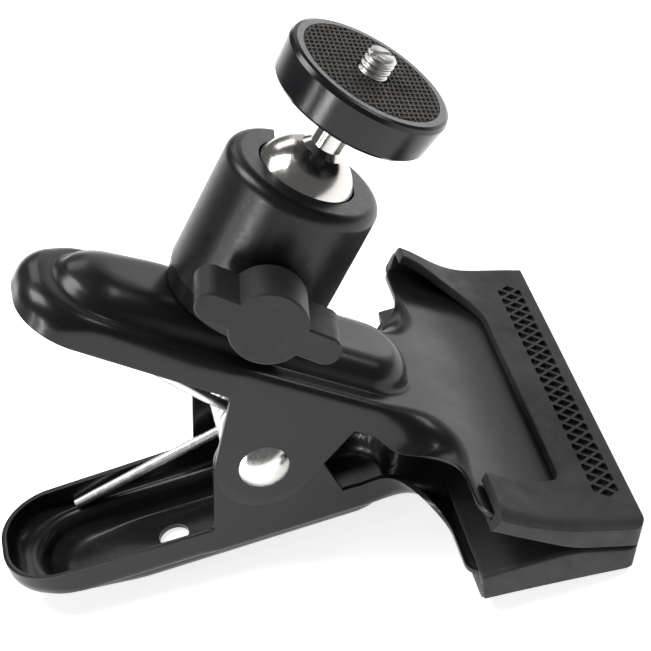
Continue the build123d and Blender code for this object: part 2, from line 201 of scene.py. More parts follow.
class Paint:
    """A node material round one Principled shader, with helpers for its texture nodes."""

    def __init__(self, name, color, roughness, metallic=0.0, **sockets):
        self.material = bpy.data.materials.new(name)
        self.material.use_nodes = True
        self.nodes = self.material.node_tree.nodes
        self.links = self.material.node_tree.links
        self.shader = self.nodes["Principled BSDF"]
        self.shader.inputs["Base Color"].default_value = (*color, 1)
        self.shader.inputs["Roughness"].default_value = roughness
        self.shader.inputs["Metallic"].default_value = metallic
        for socket, value in sockets.items():
            self.shader.inputs[socket.replace("_", " ")].default_value = value
        self.where = self.nodes.new("ShaderNodeTexCoord").outputs["Object"]

    def noise(self, scale, detail=3.0, rough=0.5):
        """Noise in object space; scale is in cells to the metre."""
        node = self.nodes.new("ShaderNodeTexNoise")
        node.inputs["Scale"].default_value = scale
        node.inputs["Detail"].default_value = detail
        node.inputs["Roughness"].default_value = rough
        self.links.new(self.where, node.inputs["Vector"])
        return node.outputs["Fac"]

    def ramp(self, fac, low, high, start=0.3, end=0.7):
        """Colours or greys between two stops."""
        node = self.nodes.new("ShaderNodeValToRGB")
        node.color_ramp.elements[0].position = start
        node.color_ramp.elements[1].position = end
        node.color_ramp.elements[0].color = (*low, 1)
        node.color_ramp.elements[1].color = (*high, 1)
        self.links.new(fac, node.inputs["Fac"])
        return node.outputs["Color"]

    def tone(self, fac, low, high, start=0.3, end=0.7):
        """Varies the base colour."""
        self.links.new(self.ramp(fac, low, high, start, end), self.shader.inputs["Base Color"])

    def gloss(self, fac, low, high, start=0.3, end=0.7):
        """Varies the roughness."""
        node = self.nodes.new("ShaderNodeMapRange")
        node.inputs["From Min"].default_value = start
        node.inputs["From Max"].default_value = end
        node.inputs["To Min"].default_value = low
        node.inputs["To Max"].default_value = high
        self.links.new(fac, node.inputs["Value"])
        self.links.new(node.outputs["Result"], self.shader.inputs["Roughness"])

    def bump(self, fac, strength, distance):
        """Raises the surface by a texture; distance is in metres."""
        node = self.nodes.new("ShaderNodeBump")
        node.inputs["Strength"].default_value = strength
        node.inputs["Distance"].default_value = distance
        self.links.new(fac, node.inputs["Height"])
        last = self.shader.inputs["Normal"].links
        if last:
            self.links.new(last[0].from_socket, node.inputs["Normal"])
        self.links.new(node.outputs["Normal"], self.shader.inputs["Normal"])


def arm_paint():
    """Gloss black stove paint on pressed steel, with faint orange peel."""
    paint = Paint("arm_paint", (0.006, 0.006, 0.006), 0.25, Coat_Weight=0.15)
    paint.shader.inputs["Specular IOR Level"].default_value = 0.3
    paint.shader.inputs["Coat Roughness"].default_value = 0.14
    paint.tone(paint.noise(60, 4), (0.006, 0.006, 0.006), (0.011, 0.010, 0.010))
    paint.gloss(paint.noise(120, 5), 0.26, 0.36)
    paint.bump(paint.noise(300, 1, 0.4), 0.006, 0.0002)
    return paint.material


def jaw_rubber():
    """Matt moulded rubber with dust and soft stains."""
    paint = Paint("jaw_rubber", (0.016, 0.016, 0.016), 0.62)
    paint.shader.inputs["Specular IOR Level"].default_value = 0.5
    paint.tone(paint.noise(70, 6, 0.6), (0.013, 0.013, 0.014), (0.033, 0.033, 0.034))
    paint.gloss(paint.noise(220, 5, 0.6), 0.50, 0.72)
    paint.bump(paint.noise(2600, 3), 0.25, 0.0002)
    paint.bump(paint.noise(260, 2), 0.12, 0.0004)
    return paint.material


def plated(name, color, low, high, grain):
    """Bright plated metal with fine wipe marks."""
    paint = Paint(name, color, low, 1.0)
    shade_of = tuple(0.82 * c for c in color)
    paint.tone(paint.noise(grain, 5, 0.6), shade_of, color)
    paint.gloss(paint.noise(grain * 2, 5, 0.6), low, high)
    paint.bump(paint.noise(grain * 6, 2), 0.05, 0.0002)
    return paint.material


def satin_alloy(name, low, high):
    """Black anodised alloy with a very fine grain."""
    paint = Paint(name, (0.006, 0.006, 0.007), low)
    paint.shader.inputs["Specular IOR Level"].default_value = 0.36
    paint.tone(paint.noise(150, 4), (0.005, 0.005, 0.006), (0.010, 0.009, 0.010))
    paint.gloss(paint.noise(900, 4), low, high)
    paint.bump(paint.noise(5000, 2), 0.12, 0.0001)
    return paint.material


def knob_plastic():
    """Dark grey moulded plastic with a sparked surface."""
    paint = Paint("knob_plastic", (0.017, 0.017, 0.018), 0.5)
    paint.shader.inputs["Specular IOR Level"].default_value = 0.4
    paint.tone(paint.noise(90, 4), (0.011, 0.011, 0.012), (0.019, 0.019, 0.020))
    paint.gloss(paint.noise(600, 4), 0.42, 0.56)
    paint.bump(paint.noise(4200, 2), 0.25, 0.00012)
    return paint.material


def pad_rubber():
    """Brown-black anti-slip rubber."""
    paint = Paint("pad_rubber", (0.035, 0.03, 0.026), 0.6)
    paint.tone(paint.noise(500, 4), (0.028, 0.024, 0.021), (0.060, 0.054, 0.048))
    paint.gloss(paint.noise(900, 4), 0.45, 0.65)
    paint.bump(paint.noise(4000, 2), 0.2, 0.0001)
    return paint.material


def inner_plastic():
    """Natural nylon."""
    paint = Paint("inner_plastic", (0.75, 0.75, 0.7), 0.45)
    paint.tone(paint.noise(200, 3), (0.70, 0.70, 0.65), (0.78, 0.78, 0.74))
    paint.bump(paint.noise(3000, 2), 0.1, 0.0001)
    return paint.material


# Arms


def side_outline(half):
    """One side of an arm's plan, from the tip to the front.

    Each station is (edge point, inward direction, centre-line t, curl, tail, radius):
    the sheet's edge, where the row of points to it starts on the centre line, the angle
    through which the edge is turned down, the length of the turned-down part, and the
    radius of the turn.
    """
    stations = []
    fan_t = PANEL_REAR_T + PANEL_HALF
    tail = FLANGE - EDGE_R

    def put(edge, inward, centre, curl=pi / 2, length=tail, radius=EDGE_R):
        stations.append((edge, inward, centre, curl, length, radius))

    def put_soft(edge, inward, centre, widest=TIP_EDGE_R):
        """A station whose turn is as wide as the panel leaves room for."""
        room = hypot(min(edge[0] - fan_t, 0), edge[1]) - PANEL_HALF - PANEL_FOOT - 0.05
        radius = max(EDGE_R, min(widest, room))
        put(edge, inward, centre, pi / 2, FLANGE - radius, radius)

    middle = (TIP_T + TIP_R, TIP_HALF - TIP_R)
    for y in (0.0, 0.7, 1.4):
        put_soft((TIP_T, y), (1, 0), fan_t)
    for k in range(23):
        a = pi - k / 22 * pi / 2
        edge = (middle[0] + TIP_R * cos(a), middle[1] + TIP_R * sin(a))
        put_soft(edge, (-cos(a), -sin(a)), fan_t)
    for k in range(1, 31):
        t = middle[0] + k / 30 * (-EAR_ROOT - middle[0])
        y = TIP_HALF + k / 30 * (half - TIP_HALF)
        widest = TIP_EDGE_R + (k / 30) ** 2 * (EDGE_R - TIP_EDGE_R)
        put_soft((t, y), (0, -1), fan_t + k / 30 * (-EAR_ROOT - fan_t), widest)
    for k in range(1, EAR_STEPS + 1):
        t = -EAR_ROOT + k / EAR_STEPS * 2 * EAR_ROOT
        put((t, half), (0, -1), t)
    for t in (15.4, 16.2, FLARE_T):
        put((t, half), (0, -1), t)
    for k in range(1, 41):
        f = k / 40
        a = -pi / 2 + f * pi / 2
        edge = (FLARE_T + FLARE_R * cos(a), half + FLARE_R + FLARE_R * sin(a))
        curl = pi / 2 * (1 - 0.86 * smooth(f, 0.15, 1.0))
        radius = EDGE_R * (1 + 2.0 * smooth(f, 0.0, 0.45) * (1 - 0.6 * smooth(f, 0.6, 1.0)))
        put(edge, (cos(a), sin(a)), FLARE_T + 31 * f**0.8, curl, tail * (1 - 0.9 * f), radius)
    corner = (WING_T + WING_CORNER_R, WING_HALF - WING_CORNER_R)
    low_y = half + FLARE_R
    for k in range(1, 7):
        y = low_y + k / 6 * (corner[1] - low_y)
        put((WING_T, y), (1, 0), 48 + k / 6 * 4, 0.22, 0.5, EDGE_R * 1.8)
    for k in range(1, 9):
        a = pi - k / 8 * pi / 2
        edge = (corner[0] + WING_CORNER_R * cos(a), corner[1] + WING_CORNER_R * sin(a))
        radius = EDGE_R * (1.8 - 0.8 * k / 8)
        put(edge, (-cos(a), -sin(a)), 52 + k / 8 * 2, 0.22 * (1 - k / 9), 0.5, radius)
    front = PLATE_FRONT_X * cos(ARM_ANGLE) - PLATE_Z * sin(ARM_ANGLE)
    for k in range(1, 25):
        f = k / 24
        t = corner[0] + f * (front - corner[0])
        put((t, WING_HALF), (0, -1), 54 + f * (front - 54), 0.02, 0.5)
    return stations


def ear_edge():
    """The ear's lower edge as (t, w) points, rear to front, one for each ear station."""
    root = (EAR_ROOT, PLATE_H - FLANGE)
    turn = atan2(root[1], root[0]) - acos(EAR_R / hypot(*root))
    side = hypot(root[0] - EAR_R * cos(turn), root[1] - EAR_R * sin(turn))
    arc = EAR_R * (pi + 2 * turn)
    total = 2 * side + abs(arc)
    points = []
    for k in range(EAR_STEPS + 1):
        run = k / EAR_STEPS * total
        if run < side:
            f = run / side
            t = -root[0] + f * (root[0] - EAR_R * cos(turn))
            w = root[1] + f * (EAR_R * sin(turn) - root[1])
        elif run > side + abs(arc):
            f = (run - side - abs(arc)) / side
            t = EAR_R * cos(turn) + f * (root[0] - EAR_R * cos(turn))
            w = EAR_R * sin(turn) + f * (root[1] - EAR_R * sin(turn))
        else:
            a = pi - turn + (run - side) / EAR_R
            t, w = EAR_R * cos(a), EAR_R * sin(a)
        points.append((t, w))
    return points


def bend_height(t):
    """How far the jaw's bend lifts the plate's outer face at t."""
    reach = BEND_R * sin(ARM_ANGLE)
    if t <= BEND_T:
        return 0.0
    if t < BEND_T + reach:
        return BEND_R - sqrt(BEND_R**2 - (t - BEND_T) ** 2)
    return BEND_R * (1 - cos(ARM_ANGLE)) + (t - BEND_T - reach) * tan(ARM_ANGLE)


def panel_height(t, y, slope):
    """Height of the raised panel; slope is how wide its flank is, ahead of the softer rear."""
    low, high = PANEL_REAR_T + PANEL_HALF, PANEL_FRONT_T - PANEL_HALF
    away = hypot(t - min(max(t, low), high), y)
    flank = slope + REAR_SOFTNESS * (1 - smooth(t, PANEL_REAR_T + 2, PANEL_REAR_T + 24))
    rise = min(1.0, max(0.0, (PANEL_HALF + PANEL_FOOT - away) / flank))
    return PANEL_H * (1 - (1 - rise) ** 2.4) * smooth(rise, -0.02, 0.25)


def arm_side(half, sign, slope):
    """Points of one side of an arm's outer face, and how many there are in a row."""
    inner = [k / 34 for k in range(35)]
    curls, tails = 8, 9
    ears = ear_edge()
    points = []
    for edge, inward, centre, curl, length, radius in side_outline(half):
        run = radius * sin(curl) + length * cos(curl)
        start = (edge[0] + inward[0] * run, edge[1] + inward[1] * run)
        for f in inner:
            t = centre + f * (start[0] - centre)
            y = f * start[1]
            points.append((t, sign * y, PLATE_H + panel_height(t, y, slope) + bend_height(t)))
        base = PLATE_H + panel_height(*start, slope)
        for k in range(1, curls + 1):
            a = curl * k / curls
            out = radius * sin(a)
            t, y = start[0] - inward[0] * out, start[1] - inward[1] * out
            points.append((t, sign * y, base - radius * (1 - cos(a)) + bend_height(t)))
        t0, y0 = t, y
        w0 = base - radius * (1 - cos(curl))
        t1, y1 = edge
        w1 = w0 - length * sin(curl)
        at_ear = abs(t0) <= EAR_ROOT + 1e-6 and abs(y0 - half) < 1e-6
        if at_ear:
            t1, w1 = ears[round((t0 + EAR_ROOT) / (2 * EAR_ROOT) * EAR_STEPS)]
        for k in range(1, tails + 1):
            f = k / tails
            t, y, w = t0 + f * (t1 - t0), y0 + f * (y1 - y0), w0 + f * (w1 - w0)
            points.append((t, sign * y, w + bend_height(t)))
    return points, len(inner) + curls + tails


def pressed_arm(name, half, matrix, slope, pin_r, hole_t):
    """One pressed arm: formed sheet, turned-down edge, panel, ears and holes."""
    points, faces = [], []
    for sign in (1, -1):
        side, columns = arm_side(half, sign, slope)
        faces += grid_faces(columns, len(side) // columns, len(points))
        points += side
    obj = mesh_object(name, points, faces, matrix)
    bm = bmesh.new()
    bm.from_mesh(obj.data)
    top = max(bm.faces, key=lambda f: (matrix.inverted() @ f.calc_center_median()).z)
    up = matrix.to_3x3() @ Vector((0, 0, 1))
    if top.normal.dot(up) < 0:
        bmesh.ops.reverse_faces(bm, faces=bm.faces)
    bm.to_mesh(obj.data)
    bm.free()
    sheet = obj.modifiers.new("sheet", "SOLIDIFY")
    sheet.thickness = SHEET * MM
    sheet.offset = -1
    edge = obj.modifiers.new("edge", "BEVEL")
    edge.width = 0.22 * MM
    edge.segments = 2
    edge.limit_method = "ANGLE"
    edge.angle_limit = radians(50)
    apply_modifiers(obj)
    across = matrix @ Matrix.Rotation(pi / 2, 4, "X")
    pin = bar(-40, 40, pin_r, across)
    hole = bar(PLATE_H, PLATE_H + 20, HOLE_R, matrix @ Matrix.Translation((hole_t * MM, 0, 0)))
    cut(obj, [pin, hole])
    shade(obj, 38)
    return obj


# Rubber covers, drawn in the midway frame with z out of the clamp


def plate_z(x, offset):
    """Height of the surface offset mm outside the plate's outer face."""
    centre_x = BEND_T * cos(ARM_ANGLE) + (PLATE_H + BEND_R) * sin(ARM_ANGLE)
    centre_z = -BEND_T * sin(ARM_ANGLE) + (PLATE_H + BEND_R) * cos(ARM_ANGLE)
    radius = BEND_R - offset
    if x >= centre_x:
        return PLATE_Z + offset
    start = centre_x - radius * sin(ARM_ANGLE)
    if x >= start:
        return centre_z - sqrt(radius**2 - (x - centre_x) ** 2)
    return centre_z - radius * cos(ARM_ANGLE) + (start - x) * tan(ARM_ANGLE)


def grip_z(x):
    """Height of the gripping face: sloped behind, flat at the front, eased between."""
    rear_w = PLATE_H - SHEET - COVER_REAR_PAD
    rear_x = COVER_REAR_T * cos(ARM_ANGLE) + rear_w * sin(ARM_ANGLE)
    rear_z = -COVER_REAR_T * sin(ARM_ANGLE) + rear_w * cos(ARM_ANGLE)
    slope = (rear_z - GRIP_Z) / (GRIP_FLAT_X - rear_x)
    tangent = GRIP_ROUND * tan(atan2(slope, 1) / 2)
    end = GRIP_FLAT_X + tangent
    start = GRIP_FLAT_X - tangent * cos(atan2(slope, 1))
    if x >= end:
        return GRIP_Z
    if x > start:
        return GRIP_Z + GRIP_ROUND - sqrt(GRIP_ROUND**2 - (end - x) ** 2)
    return GRIP_Z + (GRIP_FLAT_X - x) * slope


def samples(stops, step):
    """Values through all the stops, no further apart than step."""
    out = [stops[0]]
    for a, b in zip(stops, stops[1:]):
        n = max(1, round(abs(b - a) / step))
        out += [a + (b - a) * k / n for k in range(1, n + 1)]
    return out


REAR_X = COVER_REAR_T * cos(ARM_ANGLE) + PLATE_H * sin(ARM_ANGLE)
PLATE_SIDE = WING_HALF


def skin_z(x, swell):
    """Height of a cover's outer face; a swollen one runs straight from front to rear."""
    z = plate_z(x, LIP)
    if swell:
        front, rear = plate_z(JAW_X, LIP), plate_z(REAR_X, LIP) + swell
        z = max(z, front + (rear - front) * (JAW_X - x) / (JAW_X - REAR_X))
    return z


def cover_shape(lift, swell):
    """Returns place(kind, x, y): a point of the cover's skin at plan position x, y.

    lift is how far each ear stands off the plate at its rear, by side; swell is how
    much thicker the cover is at its rear.
    """

    def slide(x, z):
        """Leans the rear end square to the plate."""
        return x + (z - plate_z(REAR_X, 0)) * tan(ARM_ANGLE) * (JAW_X - x) / (JAW_X - REAR_X)

    def gape(x, y):
        amount = lift[y > 0]
        back = smooth(LIP_X + 1 - x, 0, LIP_X - REAR_X)
        inward = 1 - smooth(abs(y), PLATE_SIDE - 1.5, COVER_HALF)
        return amount * back * (0.35 + 0.65 * inward)

    def draw_in(x, y):
        """Pulls a lifted ear's inner edge outwards towards the rear."""
        amount = lift[y > 0]
        back = smooth(LIP_X + 1 - x, 0, LIP_X - REAR_X)
        room = 1 - smooth(abs(y), WINDOW_HALF, PLATE_SIDE)
        return y + (1 if y > 0 else -1) * 1.6 * amount * back * room

    def window_corner(x, y):
        """Moves points back so that the window's front corners come out rounded."""
        radius = 3.0 + 1.3 * lift[y > 0]
        inside = WINDOW_HALF - abs(y)
        if inside >= 0:
            inside = min(inside, radius)
            back = radius - sqrt(radius**2 - (radius - inside) ** 2)
        else:
            back = radius * (1 - smooth(-inside, 0, 9))
        if x <= LIP_X:
            return x - back * (x - REAR_X) / (LIP_X - REAR_X)
        return x - back * (1 - smooth(x, LIP_X, LIP_X + 7))

    def front_corner(x, y):
        """Rounds the cover's front corners in plan."""
        reach = max(0.0, abs(y) - (COVER_HALF - CORNER_R))
        back = CORNER_R - sqrt(CORNER_R**2 - reach**2)
        return x - back * smooth(x, JAW_X - 8, JAW_X)

    def place(kind, x, y):
        if kind in ("top_out", "low_out"):
            x = front_corner(x, y)
        if kind in ("top_out", "top_in") and x < PLATE_FRONT_X - 1:
            x = window_corner(x, y)
        if kind == "top_out":
            z = skin_z(x, swell)
            z -= 1.3 * smooth(abs(y), COVER_HALF - 3.0, COVER_HALF) ** 1.5
            z += gape(x, y)
            return slide(x, plate_z(x, LIP)), draw_in(x, y), z
        if kind == "top_in":
            return slide(x, plate_z(x, 0.05)), draw_in(x, y), plate_z(x, 0.05) + gape(x, y)
        if kind == "low_in":
            return slide(x, plate_z(x, -SHEET)), y, plate_z(x, -SHEET) - 0.05
        z = grip_z(x)
        z += 0.5 * smooth(abs(y), COVER_HALF - 1.2, COVER_HALF) ** 2
        return slide(x, z), y, z

    return place


def jaw_cover(name, matrix, lift, swell):
    """The moulded sleeve: lip and ears outside, pad inside, pocket between."""
    place = cover_shape(lift, swell)
    xs = samples([REAR_X, LIP_X, PLATE_FRONT_X, JAW_X], 1.0)
    side = samples([WINDOW_HALF, PLATE_SIDE], 0.8) + samples([PLATE_SIDE, COVER_HALF], 0.35)[1:]
    middle = WINDOW_HALF - 9
    across = samples([-WINDOW_HALF, -middle], 0.8) + samples([-middle, middle], 2.0)[1:]
    across += samples([middle, WINDOW_HALF], 0.8)[1:-1]
    ys = [-y for y in reversed(side)] + across[1:] + side
    points, faces = [], []

    def patch(rows):
        """Adds a grid given as rows of points."""
        start = len(points)
        for row in rows:
            points.extend(row)
        faces.extend(grid_faces(len(rows[0]), len(rows), start))

    def span(low, high, parts=4):
        """Rows of points from one edge line to another."""
        rows = []
        for k in range(parts + 1):
            f = k / parts
            rows.append([tuple(a + f * (b - a) for a, b in zip(p, q)) for p, q in zip(low, high)])
        return rows

    eps = 1e-6
    lip_xs = [x for x in xs if x >= LIP_X - eps]
    ear_xs = [x for x in xs if x <= LIP_X + eps]
    in_xs = [x for x in xs if x <= PLATE_FRONT_X + eps]
    lip_in_xs = [x for x in in_xs if x >= LIP_X - eps]
    in_ys = [y for y in ys if abs(y) <= PLATE_SIDE + eps]
    mid_ys = [y for y in ys if abs(y) <= WINDOW_HALF + eps]
    for sign in (-1, 1):
        ear_ys = [y for y in ys if sign * y >= WINDOW_HALF - eps]
        ear_in_ys = [y for y in ear_ys if abs(y) <= PLATE_SIDE + eps]
        wall_ys = [y for y in ear_ys if abs(y) >= PLATE_SIDE - eps]
        patch([[place("top_out", x, y) for x in ear_xs] for y in ear_ys])
        patch([[place("top_in", x, y) for x in ear_xs] for y in ear_in_ys])
        edge = sign * COVER_HALF
        low = [place("low_out", x, edge) for x in xs]
        patch(span(low, [place("top_out", x, edge) for x in xs]))
        wall = sign * PLATE_SIDE
        low = [place("low_in", x, wall) for x in in_xs]
        patch(span(low, [place("top_in", x, wall) for x in in_xs], 2))
        patch_rear(patch, place, sign, wall_ys)
        low = [place("top_in", REAR_X, y) for y in ear_in_ys]
        patch(span(low, [place("top_out", REAR_X, y) for y in ear_in_ys], 2))
        lip_edge = sign * WINDOW_HALF
        low = [place("top_in", x, lip_edge) for x in ear_xs]
        patch(span(low, [place("top_out", x, lip_edge) for x in ear_xs], 2))
    patch([[place("top_out", x, y) for x in lip_xs] for y in ys])
    patch([[place("top_in", x, y) for x in lip_in_xs] for y in in_ys])
    patch([[place("low_out", x, y) for x in xs] for y in ys])
    patch([[place("low_in", x, y) for x in in_xs] for y in in_ys])
    low = [place("low_out", JAW_X, y) for y in ys]
    patch(span(low, [place("top_out", JAW_X, y) for y in ys]))
    low = [place("low_in", PLATE_FRONT_X, y) for y in in_ys]
    patch(span(low, [place("top_in", PLATE_FRONT_X, y) for y in in_ys], 2))
    low = [place("top_in", LIP_X, y) for y in mid_ys]
    patch(span(low, [place("top_out", LIP_X, y) for y in mid_ys], 2))
    low = [place("low_out", REAR_X, y) for y in in_ys]
    patch(span(low, [place("low_in", REAR_X, y) for y in in_ys], 2))
    obj = mesh_object(name, points, faces, matrix)
    rounding = obj.modifiers.new("rounding", "BEVEL")
    rounding.width = 0.55 * MM
    rounding.segments = 3
    rounding.limit_method = "ANGLE"
    rounding.angle_limit = radians(48)
    apply_modifiers(obj)
    cut(obj, [hatch_cutter(matrix, swell)])
    shade(obj, 40)
    return obj


def patch_rear(patch, place, sign, wall_ys):
    """Closes the rear end of a side wall, beside the pocket's mouth."""
    rows = []
    levels = [
        [place("low_out", REAR_X, y) for y in wall_ys],
        [place("top_out", REAR_X, y) for y in wall_ys],
    ]
    inner = sign * PLATE_SIDE
    marks = [
        place("low_out", REAR_X, inner),
        place("low_in", REAR_X, inner),
        place("top_in", REAR_X, inner),
        place("top_out", REAR_X, inner),
    ]
    for low, high in zip(marks, marks[1:]):
        parts = 2
        for k in range(parts + 1):
            f = k / parts
            at = [a + f * (b - a) for a, b in zip(low, high)]
            share = (at[2] - marks[0][2]) / (marks[3][2] - marks[0][2])
            row = [tuple(at)]
            pairs = list(zip(*levels))
            for bottom, top in pairs[1:] if sign > 0 else pairs[:-1]:
                row.append(tuple(a + share * (b - a) for a, b in zip(bottom, top)))
            if sign < 0:
                row = row[1:] + row[:1]
            rows.append(row)
    kept = [rows[0]]
    for row in rows[1:]:
        if max(abs(a - b) for p, q in zip(row, kept[-1]) for a, b in zip(p, q)) > 1e-9:
            kept.append(row)
    patch(kept)


def hatch_cutter(matrix, swell):
    """Diamond pits in three staggered columns along the lip."""
    pitch, half_x, half_y, depth = 3.45, 1.7, 1.36, 1.0
    column_x, column_gap, margin = 69.0, 2.3, 0.55
    bm = bmesh.new()
    for column in (-1, 0, 1):
        count = 23 if column == 0 else 22
        for k in range(count):
            y = (k - (count - 1) / 2) * pitch
            x = column_x + column * column_gap
            outline = [(x - half_x, y), (x, y - half_y), (x + half_x, y), (x, y + half_y)]
            if column:
                reach = column_x + column * (column_gap + margin)
                inside = [p for p in outline if (p[0] - reach) * column <= 0]
                f = 1 - margin / half_x
                cuts = [(reach, y - f * half_y), (reach, y + f * half_y)]
                outline = inside[:2] + cuts + inside[2:] if column > 0 else cuts[::-1] + inside
            centre = Vector((sum(p[0] for p in outline), sum(p[1] for p in outline))) / len(outline)
            ring = sorted(outline, key=lambda p: atan2(p[1] - centre.y, p[0] - centre.x))
            skin = [skin_z(px, swell) for px, py in ring]
            low = [bm.verts.new((*p, z - depth)) for p, z in zip(ring, skin)]
            top = [bm.verts.new((*p, z + 2)) for p, z in zip(ring, skin)]
            n = len(ring)
            bm.faces.new(low[::-1])
            bm.faces.new(top)
            for a in range(n):
                b = (a + 1) % n
                bm.faces.new((low[a], low[b], top[b], top[a]))
    bmesh.ops.recalc_face_normals(bm, faces=bm.faces)
    mesh = bpy.data.meshes.new("pits")
    bm.to_mesh(mesh)
    bm.free()
    mesh.transform(matrix @ Matrix.Scale(MM, 4))
    return add_object("pits", mesh)


# Spring


def swept_tube(name, path, radius, sides, matrix):
    """A round wire along closely spaced points, with flat ends."""
    path = [Vector(p) for p in path]
    points, faces = [], []
    side = None
    for k, p in enumerate(path):
        ahead = (path[min(k + 1, len(path) - 1)] - path[max(k - 1, 0)]).normalized()
        if side is None:
            side = ahead.orthogonal().normalized()
        side = (side - ahead * side.dot(ahead)).normalized()
        up = ahead.cross(side)
        for a in range(sides):
            turn = 2 * pi * a / sides
            points.append(p + radius * (cos(turn) * side + sin(turn) * up))
    for k in range(len(path) - 1):
        for a in range(sides):
            b = (a + 1) % sides
            faces.append((k * sides + a, k * sides + b, (k + 1) * sides + b, (k + 1) * sides + a))
    faces.append(tuple(reversed(range(sides))))
    last = (len(path) - 1) * sides
    faces.append(tuple(range(last, last + sides)))
    return mesh_object(name, points, faces, matrix)


def torsion_spring():
    """Coil round the rivet, with a bent leg into the upper handle and a straight one below."""
    reach = hypot(SPRING_END_T, SPRING_END_W)
    turn = atan2(SPRING_END_W, SPRING_END_T) - acos(COIL_R / reach)
    spots = []
    for arm in (UPPER, LOWER):
        local = Matrix.Translation(-PIVOT) @ arm
        turned = local.to_3x3()
        touch = turned @ Vector((COIL_R * cos(turn), 0, COIL_R * sin(turn)))
        end = turned @ Vector((SPRING_END_T, 0, SPRING_END_W))
        spots.append((touch, end))
    first = atan2(spots[0][0].z, spots[0][0].x)
    last = atan2(spots[1][0].z, spots[1][0].x) - 2 * pi * COIL_TURNS
    steps = 48 * COIL_TURNS
    path = []
    leg = 30
    knee = UPPER.to_3x3() @ Vector(SPRING_KNEE) - Vector((0, SPRING_KNEE_Y, 0))
    for k in range(leg):
        f = k / leg
        start = Vector((spots[0][1].x, -SPRING_END_Y, spots[0][1].z))
        stop = Vector((spots[0][0].x, -COIL_HALF, spots[0][0].z))
        path.append(start.lerp(knee, f).lerp(knee.lerp(stop, f), f))
    for k in range(steps + 1):
        f = k / steps
        a = first + f * (last - first)
        path.append(Vector((COIL_R * cos(a), -COIL_HALF + 2 * COIL_HALF * f, COIL_R * sin(a))))
    for k in range(1, leg + 1):
        f = k / leg
        start = Vector((spots[1][0].x, COIL_HALF, spots[1][0].z))
        stop = Vector((spots[1][1].x, SPRING_END_Y, spots[1][1].z))
        path.append(start.lerp(stop, f))
    obj = swept_tube("torsion_spring", path, WIRE_R, 16, Matrix.Translation(PIVOT))
    shade(obj, 60)
    return obj


# Camera platform


def threaded_stud():
    """Camera stud with a real thread, a rounded end and a driver slot."""
    sides, per_turn = 60, 12
    low, high = PLATFORM_TOP - 0.6, STUD_TOP
    turns = (high - low) / THREAD_PITCH
    rows = int(turns * per_turn)
    points, faces = [], []
    for r in range(rows + 1):
        z = low + (high - low) * r / rows
        for a in range(sides):
            phase = (z / THREAD_PITCH - a / sides) % 1.0
            depth = THREAD_DEPTH * smooth(abs(phase - 0.5) * 2, 0.1, 1.0)
            radius = THREAD_R - depth
            end = max(0.0, z - (high - 0.9)) / 0.9
            radius = min(radius, THREAD_R - 0.75 * end * end)
            angle = 2 * pi * a / sides
            points.append((radius * cos(angle), radius * sin(angle), z))
    for r in range(rows):
        for a in range(sides):
            b = (a + 1) % sides
            faces.append((r * sides + a, r * sides + b, (r + 1) * sides + b, (r + 1) * sides + a))
    last = rows * sides
    faces.append(tuple(reversed(range(sides))))
    faces.append(tuple(range(last, last + sides)))
    obj = mesh_object("camera_screw_threaded", points, faces, STEM)
    bm = bmesh.new()
    bmesh.ops.create_cube(bm, size=1)
    mesh = bpy.data.meshes.new("slot")
    bm.to_mesh(mesh)
    bm.free()
    mesh.transform(STEM @ Matrix.Scale(MM, 4) @ Matrix.Translation((0, 0, STUD_TOP))
                   @ Matrix.Rotation(SLOT_TURN, 4, "Z") @ Matrix.Diagonal((9, 1.1, 2.4, 1)))
    cut(obj, [add_object("slot", mesh)])
    shade(obj, 35)
    return obj


def mesh_pad():
    """Anti-slip pad: a thin disc under a net of fine crossing ribs."""
    pitch, rib, rise = 1.3, 0.42, 0.34
    top = PLATFORM_TOP + PAD_PROUD
    bm = bmesh.new()
    ring_r = [THREAD_R + 0.35, PAD_R - 0.05]
    sides = 96
    rows = []
    for radius, z in (
        (ring_r[0], top - rise - 0.5),
        (ring_r[0], top - rise),
        (ring_r[1], top - rise),
        (ring_r[1], top - rise - 0.5),
    ):
        rows.append([
            bm.verts.new((radius * cos(2 * pi * a / sides), radius * sin(2 * pi * a / sides), z))
            for a in range(sides)
        ])
    for low, high in zip(rows, rows[1:] + rows[:1]):
        for a in range(sides):
            b = (a + 1) % sides
            bm.faces.new((low[a], low[b], high[b], high[a]))
    reach = PAD_R - 0.25
    hub = THREAD_R + 0.55
    for turn in (radians(28), radians(-92)):
        along = Vector((cos(turn), sin(turn), 0))
        over = Vector((-sin(turn), cos(turn), 0))
        count = int(reach / pitch)
        for k in range(-count, count + 1):
            d = k * pitch
            end = sqrt(reach**2 - d * d)
            gap = sqrt(hub**2 - d * d) if abs(d) < hub else None
            runs = [(-end, end)] if gap is None else [(-end, -gap), (gap, end)]
            for a, b in runs:
                if b - a > 0.6:
                    add_rib(bm, along, over, d, a, b, top, rib, rise)
    bmesh.ops.recalc_face_normals(bm, faces=bm.faces)
    mesh = bpy.data.meshes.new("platform_pad_mesh")
    bm.to_mesh(mesh)
    bm.free()
    mesh.transform(STEM @ Matrix.Scale(MM, 4))
    obj = add_object("platform_pad_mesh", mesh)
    shade(obj, 30)
    return obj


